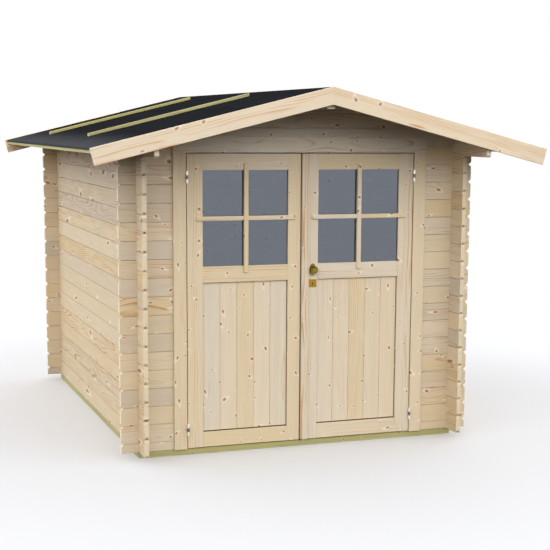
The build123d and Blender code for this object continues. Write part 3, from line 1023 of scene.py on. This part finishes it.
    def gable(self, piece: Piece, faces: Pair) -> None:
        """Boards above the side walls, cut to the roof's slope and parted by the ridge purlin.

        Args:
            piece: The wall.
            faces: Places of its faces, measured toward the front.
        """
        roof, half, axes = self.roof, self.wall / 2, Run.ACROSS.axes
        low, high = self.split, self.split + self.board
        inner, outer = self.cross_x - half, self.cross_x + half
        shoulder = roof.under_deck(inner)
        section = self.section(low, high, faces, [shoulder])
        reach = np.minimum(inner, roof.reach(section[:, 0]))
        solids = [prism(section, -reach, reach, (low, shoulder, high))]
        stub_top = roof.under_deck(outer) - self.tongue_gap
        nose = low + self.eaves_notch
        breaks = [nose, roof.under_deck(self.wing)]
        stub = self.section(low, stub_top, faces, breaks)
        far = np.minimum(self.wing - np.maximum(0, nose - stub[:, 0]), roof.reach(stub[:, 0]))
        zones = (low, *breaks, stub_top)
        solids += [prism(stub, outer, far, zones), prism(stub, -far, -outer, zones)]
        neck = (low + self.quarter, stub_top)
        solids += [self.neck(neck, faces, side.value * self.cross_x) for side in Side]
        piece.board(solids, axes)
        section = self.section(high, high + self.board, faces, [high + self.board / 2])
        reach = roof.reach(section[:, 0])
        piece.board([prism(section, -reach, reach)], axes)
        gap = self.purlin_half
        tip = roof.under_deck(gap) - self.end_form.joint.ease
        section = self.section(high + self.board, tip, faces, [])
        reach = roof.reach(section[:, 0])
        piece.board([prism(section, -reach, -gap), prism(section, gap, reach)], axes)

    def build(self) -> None:
        """Lay every wall."""
        for side in Side:
            self.side_wall(side)
        front = (-self.jamb_low[1], -self.jamb_high[1])
        for side in Side:
            name = f"front_wall_{side.word}"
            piece = Piece(f"{name}_boards")
            start, stop = sorted((side.value * self.jamb_low[0], side.value * self.jamb_high[0]))
            free = (side is Side.LEFT, side is Side.RIGHT)
            self.end_courses(piece, front, (start, stop), [side.value * self.cross_x], free)
            piece.finish(WALL, self.slot, name)
        piece = Piece("front_gable_boards")
        self.gable(piece, front)
        # Painted light: the gable under the roof takes the paler copy of the wall spruce to lift its shade.
        piece.finish(SHADE_LIFTED, self.slot, "front_gable")
        piece = Piece("back_wall_boards")
        back = (-self.back_low[1], -self.back_high[1])
        self.end_courses(piece, back, (-self.wing, self.wing), (-self.cross_x, self.cross_x))
        self.gable(piece, back)
        piece.finish(WALL, self.slot, "back_wall")


@dataclass
class RoofTimbers:
    """Purlins under the deck and the bargeboards that cover its ends."""

    roof: RoofPlanes
    walls: PlankWalls
    arris: float = 2.0
    barge_depth: float = 103.0
    slot: str = "wall_spruce"
    barge_slot: str = "planed_spruce"

    def eaves_purlin(self, side: Side) -> None:
        """Top board of a side wall, its upper edge bevelled to the slope and its free ends nosed below.

        Args:
            side: Which wall.
        """
        name = f"eaves_purlin_{side.word}"
        (left, start, bottom), (right, stop, _) = node_box(name)
        ease, walls, roof = self.arris, self.walls, self.roof
        nose = bottom + walls.eaves_notch
        outline = np.array([
            (bottom, left + ease), (bottom, right - ease), (bottom + ease, right), (nose, right),
            (roof.under_deck(right), right), (roof.under_deck(left), left), (nose, left),
            (bottom + ease, left),
        ])
        heights = outline[:, 0]
        set_back = np.maximum(0, nose - heights)
        neck = (bottom + walls.quarter, bottom + 3 * walls.quarter)
        solids = walls.crossed(outline, (start + set_back, stop - set_back), (bottom, nose, heights.max()),
                               (-walls.cross_y, walls.cross_y), neck, (left, right))
        Piece(f"{name}_board").board(solids, Run.DEEP.axes).finish(WALL, self.slot, name)

    def ridge_purlin(self) -> None:
        """Beam under the ridge, bevelled both ways."""
        (left, start, bottom), (right, stop, _) = node_box("ridge_purlin")
        ease = self.arris
        shoulder = self.roof.under_deck(right)
        outline = np.array([(bottom, left + ease), (bottom, right - ease), (bottom + ease, right),
                            (shoulder, right), (self.roof.peak, 0), (shoulder, left), (bottom + ease, left)])
        piece = Piece("ridge_purlin_beam").board([prism(outline, start, stop)], Run.DEEP.axes)
        piece.finish(WALL, self.slot, "ridge_purlin")

    def bargeboard(self, end: str, side: Side) -> None:
        """Board down one gable edge, mitred upright at the ridge and cut square at the eaves.

        Args:
            end: The gable, front or back.
            side: Which slope.
        """
        name = f"bargeboard_{end}_{side.word}"
        low, high = node_box(name)
        roof, ease = self.roof, self.arris
        half = (high[1] - low[1]) / 2
        down = np.array([side.value * roof.cosine, 0, -roof.sine])
        inward = np.array([-side.value * roof.sine, 0, -roof.cosine])
        outline = rounded(0, self.barge_depth, -half, half, ease)
        small = rounded(ease, self.barge_depth - ease, ease - half, half - ease, ease / 2)
        length = max(-low[0], high[0]) / roof.cosine
        solid = loft([outline, outline, small], [outline[:, 0] * roof.slope, length - ease, length])
        axes = np.array([down, inward, np.cross(down, inward)])
        piece = Piece(f"{name}_board").board([solid], axes, (0, (low[1] + high[1]) / 2, high[2]))
        piece.finish(PLANED, self.barge_slot, name)

    def build(self) -> None:
        """Make the purlins and bargeboards."""
        for side in Side:
            self.eaves_purlin(side)
        self.ridge_purlin()
        for end in ("front", "back"):
            for side in Side:
                self.bargeboard(end, side)


@dataclass
class RoofSlope:
    """One slope's boarded deck, eaves strip, lapped felt and the battens that hold it."""

    roof: RoofPlanes
    side: Side
    deck_board: float = 96.5
    joint: float = 2.5
    fold: float = 7.0
    fold_steps: int = 8
    lap_at: float = 520.0
    lap: float = 80.0
    grid: tuple[int, int] = (36, 80)
    ripple: float = 0.6
    waves: tuple[float, ...] = (61.0, 310.0, 97.0, 230.0, 41.0, 73.0)
    batten_width: float = 40.0
    batten_height: float = 19.0
    batten_arris: float = 2.0
    treated_slot: str = "treated_pine"

    def deck(self) -> None:
        """Boards that run down the slope side by side, with eased joints."""
        roof = self.roof
        count = round((roof.back - roof.front) / self.deck_board)
        joints = np.linspace(roof.front, roof.back, count + 1)
        edge = node_box("roof_deck_right")[1][0]
        piece = Piece(f"roof_deck_{self.side.word}_boards")
        for first, second in zip(joints[:-1], joints[1:]):
            low, high = sorted((self.side.value * first, self.side.value * second))
            outline = rounded(low, high, -roof.felt - roof.deck, -roof.felt, self.joint)
            top, foot = (roof.plumb(x, outline[:, 1]) for x in (0, edge))
            piece.board([prism(outline, top, foot)], roof.down(self.side), (0, 0, roof.ridge))
        piece.finish(BOARDS, "roof_spruce", f"roof_deck_{self.side.word}")

    def eaves_strip(self) -> None:
        """Treated batten along the deck's lower edge, its faces sloped as the roof is."""
        roof = self.roof
        (inner, _, bottom), (outer, _, top) = node_box("eaves_strip_right")
        fall = (outer - inner) * roof.slope
        near, far = self.side.value * inner, self.side.value * outer
        outline = np.array([(bottom + fall, near), (top, near), (top - fall, far), (bottom, far)])
        piece = Piece(f"eaves_strip_{self.side.word}_batten")
        piece.board([prism(outline, roof.front, roof.back)], Run.DEEP.axes)
        piece.finish(TREATED, self.treated_slot, f"eaves_strip_{self.side.word}")

    def felt(self) -> None:
        """Two sheets, the upper lapped over the lower, with a faint ripple as a sum of three sines.

        The lower sheet turns down over the eaves: an arc of a right angle less the pitch about a centre
        under the felt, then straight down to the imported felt's lowest height, with the same centre for its
        two faces.
        """
        roof = self.roof
        thick = roof.felt / 2
        lap_at = self.lap_at / roof.cosine
        turn = np.linspace(0, math.pi / 2 - roof.pitch, self.fold_steps)[:, None]
        outer = thick + self.fold
        edge = (roof.eaves + outer * roof.sine - self.fold) / roof.cosine
        plumb_down = np.array([roof.sine, 0, -roof.cosine])
        rows, columns = self.grid
        across = np.sort(self.side.value * np.linspace(roof.front, roof.back, columns))
        piece = Piece(f"roof_felt_{self.side.word}_sheets")
        for start, stop, top, upper in ((lap_at - self.lap, edge, thick, False), (0.0, lap_at, 0.0, True)):
            s, y = np.meshgrid(np.linspace(start, stop, rows), across, indexing="ij")
            a, b, c, d, e, f = self.waves
            wave = np.sin(s / a + np.sin(y / b)) + np.sin(y / c + s / d) + np.sin(y / e - s / f)
            depth = top + self.ripple * (1 + wave / 3) / 2
            floor = np.where(upper & (s > lap_at - self.lap), thick, roof.felt)
            mitred = s + floor * roof.slope * (s == 0)
            faces = [np.stack([s, y, -depth], axis=-1), np.stack([mitred, y, -floor], axis=-1)]
            for number, radius in enumerate(() if upper else (self.fold, self.fold - thick)):
                arc = np.stack(np.broadcast_arrays(edge + radius * np.sin(turn), across,
                                                   radius * np.cos(turn) - outer), axis=-1)
                height = roof.ridge - arc[-1, :, 0] * roof.sine + arc[-1, :, 2] * roof.cosine
                drop = arc[-1] + (height - roof.eaves_bottom)[:, None] * plumb_down
                faces[number] = np.concatenate([faces[number][:-1], arc, drop[None]])
            piece.board([slab(*faces)], roof.down(self.side), (0, 0, roof.ridge))
        piece.finish(FELT, "bitumen_felt", f"roof_felt_{self.side.word}")

    def battens(self) -> None:
        """Treated battens that lie down the slope and hold the felt."""
        roof = self.roof
        box_low, box_high = node_box("felt_battens_right")
        piece = Piece(f"felt_battens_{self.side.word}_timbers")
        for first in (box_low[1], box_high[1] - self.batten_width):
            low, high = sorted(self.side.value * (first + step) for step in (0, self.batten_width))
            outline = rounded(low, high, 0, self.batten_height, self.batten_arris)
            start, stop = (roof.plumb(x, outline[:, 1]) for x in (box_low[0], box_high[0]))
            piece.board([prism(outline, start, stop)], roof.down(self.side), (0, 0, roof.ridge))
        piece.finish(TREATED, self.treated_slot, f"felt_battens_{self.side.word}")

    def build(self) -> None:
        """Cover the slope."""
        self.deck()
        self.eaves_strip()
        self.felt()
        self.battens()


@dataclass
class Base:
    """Treated rails under the walls, the floor's bearers and its boards."""

    bearer: float = 45.0
    bearers: int = 5
    floor_boards: int = 19
    arris: float = 2.0
    slot: str = "treated_pine"

    def build(self) -> None:
        """Make the base and the floor."""
        rails = {"front": Run.ACROSS, "back": Run.ACROSS, "left": Run.DEEP, "right": Run.DEEP}
        for word, run in rails.items():
            name = f"base_rail_{word}"
            Piece(f"{name}_timber").bar(*node_box(name), run, self.arris).finish(TREATED, self.slot, name)
        low, high = node_box("floor_bearers")
        half = self.bearer / 2
        piece = Piece("floor_bearer_timbers")
        for middle in np.linspace(low[1] + half, high[1] - half, self.bearers):
            piece.bar((low[0], middle - half, low[2]), (high[0], middle + half, high[2]), Run.LEVEL,
                      self.arris)
        piece.finish(TREATED, self.slot, "floor_bearers")
        low, high = node_box("floor_deck")
        joints = np.linspace(low[0], high[0], self.floor_boards + 1)
        piece = Piece("floor_boards")
        for left, right in zip(joints[:-1], joints[1:]):
            piece.bar((left, low[1], low[2]), (right, high[1], high[2]), Run.LYING, self.arris)
        piece.finish(BOARDS, "floor_spruce", "floor_deck")


@dataclass
class DoorFrame:
    """Jambs and head of the doorway, with the stops and the sill inside."""

    lining: float = 24.0
    proud: float = 16.0
    stop_width: float = 78.0
    stop_gap: float = 1.0
    arris: float = 2.5
    slot: str = "joinery_spruce"

    def build(self) -> None:
        """Make the frame's pieces."""
        for side in Side:
            name = f"door_jamb_{side.word}"
            low, high = node_box(name)
            step = low[1] + self.proud
            inner = high[0] if side is Side.LEFT else low[0]
            outer = inner + side.value * self.lining
            piece = Piece(f"{name}_boards").bar(low, (high[0], step, high[2]), Run.UPRIGHT, self.arris)
            piece.bar((inner, step, low[2]), (outer, high[1], high[2]), Run.UPRIGHT, self.arris)
            piece.finish(JOINERY, self.slot, name)
        low, high = node_box("door_head")
        step = low[1] + self.proud
        split = node_box("front_gable")[0][2]
        opening = node_box("front_wall_right")[0][0]
        piece = Piece("door_head_boards").bar(low, (high[0], step, high[2]), Run.ACROSS, self.arris)
        piece.bar((-opening, step, low[2]), (opening, high[1], split), Run.ACROSS, self.arris)
        # Painted light: the head under the roof takes the paler copy of the wall spruce to lift its shade.
        piece.finish(SHADE_LIFTED, self.slot, "door_head")
        low, high = node_box("door_stops")
        foot = high[2] - self.stop_width
        piece = Piece("door_stop_boards")
        for left, right in ((low[0], low[0] + self.stop_width), (high[0] - self.stop_width, high[0])):
            piece.bar((left, low[1], low[2]), (right, high[1], foot - self.stop_gap), Run.UPRIGHT, self.arris)
        piece.bar((low[0], low[1], foot), high, Run.ACROSS, self.arris)
        piece.finish(JOINERY, self.slot, "door_stops")
        piece = Piece("door_sill_strip").bar(*node_box("door_sill"), Run.LEVEL, self.arris)
        piece.finish(JOINERY, self.slot, "door_sill")


@dataclass
class DoorLeaf:
    """One half-glazed door: stiles, rails, boarded panel, pane and crossed glazing bars."""

    side: Side
    front_part: float = 14.0
    rebate: float = 10.0
    panel_boards: int = 5
    lap: float = 8.0
    joint: Joint = Joint(ease=1.2, gap=2.2, deep=5.0)
    shadow: float = 3.0
    foot_shadow: float = 8.0
    shadow_deep: float = 9.0
    bar_width: float = 29.0
    bar_thick: float = 11.0
    bar_lap: float = 43.0
    bar_arris: float = 5.0
    bar_proud: float = 1.5
    fillet_width: float = 24.0
    arris: float = 2.0
    back_arris: float = 1.0
    slot: str = "joinery_spruce"

    def __post_init__(self) -> None:
        """Take the leaf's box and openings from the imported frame."""
        self.name = f"{self.side.word}_door"
        self.body = Body(self.name)
        self.low, self.high = node_box(f"{self.name}_frame")
        glass_low, glass_high = node_box(f"{self.name}_glass")
        self.panel_low, self.panel_high = node_box(f"{self.name}_panel")
        inset = np.array([self.lap, 0, self.lap])
        self.light = (glass_low + inset, glass_high - inset)
        self.pane = glass_low[1]
        self.panel = (self.panel_low + inset, self.panel_high - inset)

    def member(self, piece: Piece, low: Pair, high: Pair, run: Run,
               rebates: tuple[float, float, float, float]) -> None:
        """One stile or rail: a full front part, and a back part set in by the rebates.

        Args:
            piece: The leaf's frame.
            low, high: Least and greatest X and Z of the front part.
            run: Which way the member runs.
            rebates: How far the back part stands in at the left, right, bottom and top.
        """
        step = self.low[1] + self.front_part
        left, right, bottom, top = rebates
        piece.bar((low[0], self.low[1], low[1]), (high[0], step, high[1]), run, self.arris)
        piece.bar((low[0] + left, step, low[1] + bottom), (high[0] - right, self.high[1], high[1] - top), run,
                  self.back_arris)

    def frame(self) -> None:
        """Stiles the full height of the leaf, and three rails between them."""
        piece = Piece(f"{self.name}_joinery")
        left, right = self.light[0][0], self.light[1][0]
        bottom, top = self.low[2], self.high[2]
        deep = self.rebate
        self.member(piece, (self.low[0], bottom), (left, top), Run.UPRIGHT, (0, deep, 0, 0))
        self.member(piece, (right, bottom), (self.high[0], top), Run.UPRIGHT, (deep, 0, 0, 0))
        rails = ((bottom, self.panel[0][2], 0, deep), (self.panel[1][2], self.light[0][2], deep, deep),
                 (self.light[1][2], top, deep, 0))
        for low, high, below, above in rails:
            self.member(piece, (left, low), (right, high), Run.ACROSS, (-deep, -deep, below, above))
        piece.finish(JOINERY, self.slot, f"{self.name}_frame", body=self.body)

    def boards(self) -> None:
        """Upright matched boards of the lower panel, and their rebated edges, painted dark as a shadow line
        round it.
        """
        low, high = self.panel_low, self.panel_high
        (left, _, bottom), (right, _, top) = self.panel
        inner = low[1] + self.shadow_deep
        foot, head = bottom + self.foot_shadow, top - self.shadow
        start, stop = left + self.shadow, right - self.shadow
        upright = Run.UPRIGHT.axes
        piece = Piece(f"{self.name}_panel_boards")
        joints = np.linspace(start, stop, self.panel_boards + 1)
        for first, second in zip(joints[:-1], joints[1:]):
            piece.board([prism(matched(first, second, (low[1], high[1]), self.joint), foot, head)], upright)
        piece.finish(JOINERY, self.slot, f"{self.name}_panel", body=self.body)
        piece = Piece(f"{self.name}_panel_edges")
        for near, far, ends in ((low[0], high[0], (low[2], foot)), (low[0], high[0], (head, high[2])),
                                (low[0], start, (foot, head)), (stop, high[0], (foot, head))):
            plate = np.array([(near, inner), (far, inner), (far, high[1]), (near, high[1])])
            piece.board([prism(plate, *ends)], upright)
        # Painted shadow: the plates round the panel are coloured dark as the shade of its groove.
        piece.finish(SHADOW_LINE_SPRUCE, self.slot, body=self.body)

    def glazing_bars(self) -> None:
        """Crossed bars on the face of the leaf, the upright one whole and the level one in two.

        Each has a fillet behind it that fills the depth down to the pane.
        """
        low, high = self.light
        x, _, z = (low + high) / 2
        half, core = self.bar_width / 2, self.fillet_width / 2
        back = self.low[1]
        front = back - self.bar_thick
        piece = Piece(f"{self.name}_glazing_bars")
        piece.bar((x - half, front - self.bar_proud, low[2] - self.bar_lap),
                  (x + half, back, high[2] + self.bar_lap), Run.UPRIGHT, self.bar_arris)
        piece.bar((x - core, back, low[2]), (x + core, self.pane, high[2]), Run.UPRIGHT, self.back_arris)
        for start, reach in ((low[0], -1), (high[0], 1)):
            piece.bar((start + reach * self.bar_lap, front, z - half), (x + reach * half, back, z + half),
                      Run.ACROSS, self.bar_arris)
            piece.bar((start, back, z - core), (x + reach * core, self.pane, z + core), Run.ACROSS,
                      self.back_arris)
        piece.finish(JOINERY, self.slot, body=self.body)

    def build(self) -> None:
        """Make the leaf and dress its pane and hinges."""
        self.frame()
        self.boards()
        self.glazing_bars()
        dress_node(f"{self.name}_glass", GLASS)
        dress_node(f"{self.side.word}_hinge_pins", ZINC)
        # Painted shade: the sleeves are darkened to give the hinge its dark centre.
        dress_node(f"{self.side.word}_hinge_sleeves", SHADE_DARKENED_STEEL)


@dataclass
class DoorFurniture:
    """Cover strip, knob on its rose and lock plate of the right leaf."""

    strip_arris: float = 7.0
    key_radius: float = 3.95
    key_slot: float = 3.9
    key_drop: float = 12.9
    key_sunk: float = 0.8
    key_steps: int = 24
    body: Body = Body.RIGHT_DOOR

    def strip(self) -> None:
        """Strip that covers the gap between the leaves."""
        piece = Piece("meeting_strip_moulding").bar(*node_box("meeting_strip"), Run.UPRIGHT, self.strip_arris)
        piece.finish(JOINERY, "joinery_spruce", "meeting_strip", body=self.body)

    def keyhole(self) -> None:
        """Near-black plug behind the keyhole, painted shade for the hole's depth: a circle opened below into
        a slot, carried through the plate.
        """
        low, high = node_box("lock_plate")
        half = self.key_slot / 2
        mouth = math.asin(half / self.key_radius)
        turn = np.linspace(mouth, 2 * math.pi - mouth, self.key_steps) - math.pi / 2
        circle = self.key_radius * np.stack([np.cos(turn), np.sin(turn)], axis=1)
        outline = np.concatenate([circle, [(-half, -self.key_drop), (half, -self.key_drop)]])
        outline += (-(low[0] + high[0]) / 2, (low[2] + high[2]) / 2)
        piece = Piece("keyhole_shade_plug").board([prism(outline, low[1] + self.key_sunk, high[1])], Run.LYING.axes)
        piece.finish(KEYHOLE_SHADE, "zinc_plated_steel", body=self.body)

    def build(self) -> None:
        """Make the strip and the keyhole, and dress the knob and the lock plate."""
        self.strip()
        self.keyhole()
        dress_node("door_knob", AGED_BRASS)
        dress_node("lock_plate", BRASS)


@dataclass
class Studio:
    """Pale floor, soft light and the camera at the photograph's place, with light angles in degrees."""

    frame_pixels: float = 550.0
    focal_pixels: float = 1293.9
    centre_pixels: Pair = (297.0, 330.0)
    sensor: float = 36.0
    sight: float = 500000.0
    eye: tuple[float, float, float] = (-2906.7, -9185.9, 2085.2)
    yaw: float = 20.248
    pitch: float = 8.988
    roll: float = 0.452
    fill_light: float = 0.4
    fill_colour: str = "#d6dfff"
    ring_light: Pair = (2.85, 1.4)
    ring_colour: str = "#fffefc"
    ring_from: Pair = (4.0, 9.0)
    ring_to: Pair = (57.0, 50.0)
    white: str = "#ffffff"
    floor_reach: float = 60000.0
    floor_fade: Pair = (2500.0, 6000.0)
    floor_colour: str = "#dededc"
    bounce_colour: str = "#2a2a29"

    def camera(self) -> None:
        """Set the camera; its picture is shifted by as much as the photograph's framing needs."""
        data = bpy.data.cameras.new("camera")
        data.sensor_width = self.sensor
        data.lens = self.sensor * self.focal_pixels / self.frame_pixels
        across, down = (place / self.frame_pixels - HALF for place in self.centre_pixels)
        data.shift_x, data.shift_y = -across, down
        data.clip_end = self.sight * MM
        place = Matrix.Translation([value * MM for value in self.eye])
        for angle, axis in ((-self.yaw, "Z"), (90 - self.pitch, "X"), (self.roll, "Z")):
            place = place @ Matrix.Rotation(math.radians(angle), 4, axis)
        made = add_object("camera", data)
        made.matrix_world = place
        bpy.context.scene.camera = made

    def seen(self, tree: Tree) -> Node:
        """Factor that is 1 for what the camera sees, directly, mirrored or through glass.

        Args:
            tree: The tree that needs it.

        Returns:
            The factor's node.
        """
        path = node(tree, "LightPath").outputs
        either = node(tree, "Math", {0: path["Is Camera Ray"], 1: path["Is Glossy Ray"]}, operation="MAXIMUM")
        return node(tree, "Math", {0: either, 1: path["Is Transmission Ray"]}, operation="MAXIMUM")

    def world(self) -> None:
        """White surroundings for the eye, and a soft ring of light round the shed, strongest low down."""
        world = bpy.data.worlds.new("studio")
        tree = empty_tree(world)
        way = node(tree, "TexCoord").outputs["Generated"]
        up = node(tree, "SeparateXYZ", {0: way}).outputs["Z"]
        sines = np.sin(np.radians([self.ring_from, self.ring_to]))
        lower, upper = self.ring_light
        level = node(tree, "MapRange", {"Value": up, "From Min": sines[0, 1], "From Max": sines[1, 1],
                                        "To Min": lower, "To Max": upper})
        for start, stop in sines:
            edge = node(tree, "MapRange", {"Value": up, "From Min": start, "From Max": stop},
                        interpolation_type="SMOOTHSTEP")
            level = node(tree, "Math", {0: level, 1: edge}, operation="MULTIPLY")
        lights = ((self.ring_colour, level), (self.fill_colour, self.fill_light), (self.white, 1.0))
        ring, fill, white = (node(tree, "Background", {"Color": linear(colour), "Strength": strength})
                             for colour, strength in lights)
        light = node(tree, "AddShader", {0: ring, 1: fill})
        both = node(tree, "MixShader", {0: self.seen(tree), 1: light, 2: white})
        node(tree, "OutputWorld", {"Surface": both})
        bpy.context.scene.world = world

    def floor(self) -> None:
        """Wide floor that keeps the shed's shadow and fades to white far from it."""
        mesh = bpy.data.meshes.new("floor")
        corners = np.array([(-1, -1, 0), (1, -1, 0), (1, 1, 0), (-1, 1, 0)]) * self.floor_reach * MM
        mesh.from_pydata(corners.tolist(), [], [(0, 1, 2, 3)])
        material = bpy.data.materials.new("studio_floor")
        tree = empty_tree(material)
        pale, dull = (node(tree, "BsdfDiffuse", {"Color": linear(colour)})
                      for colour in (self.floor_colour, self.bounce_colour))
        white = node(tree, "Emission", {"Color": linear(self.white), "Strength": 1.0})
        place = node(tree, "TexCoord").outputs["Object"]
        away = node(tree, "VectorMath", {0: place}, operation="LENGTH").outputs["Value"]
        start, stop = (distance * MM for distance in self.floor_fade)
        fade = node(tree, "MapRange", {"Value": away, "From Min": start, "From Max": stop},
                    interpolation_type="SMOOTHSTEP")
        near = node(tree, "MixShader", {0: fade, 1: pale, 2: white})
        both = node(tree, "MixShader", {0: self.seen(tree), 1: dull, 2: near})
        node(tree, "OutputMaterial", {"Surface": both})
        mesh.materials.append(material)
        made = add_object("floor", mesh)

    def build(self) -> None:
        """Set the stage."""
        self.camera()
        self.world()
        self.floor()
        bpy.context.scene.view_settings.view_transform = "Standard"


def main() -> None:
    """Build the shed's sub-assemblies in order."""
    logging.basicConfig(level=logging.INFO, format="%(name)s %(message)s")
    roof = RoofPlanes()
    walls = PlankWalls(roof)
    Base().build()
    walls.build()
    RoofTimbers(roof, walls).build()
    for side in Side:
        RoofSlope(roof, side).build()
    DoorFrame().build()
    for side in Side:
        DoorLeaf(side).build()
    DoorFurniture().build()
    Studio().build()


if __name__ == "__main__":
    main()
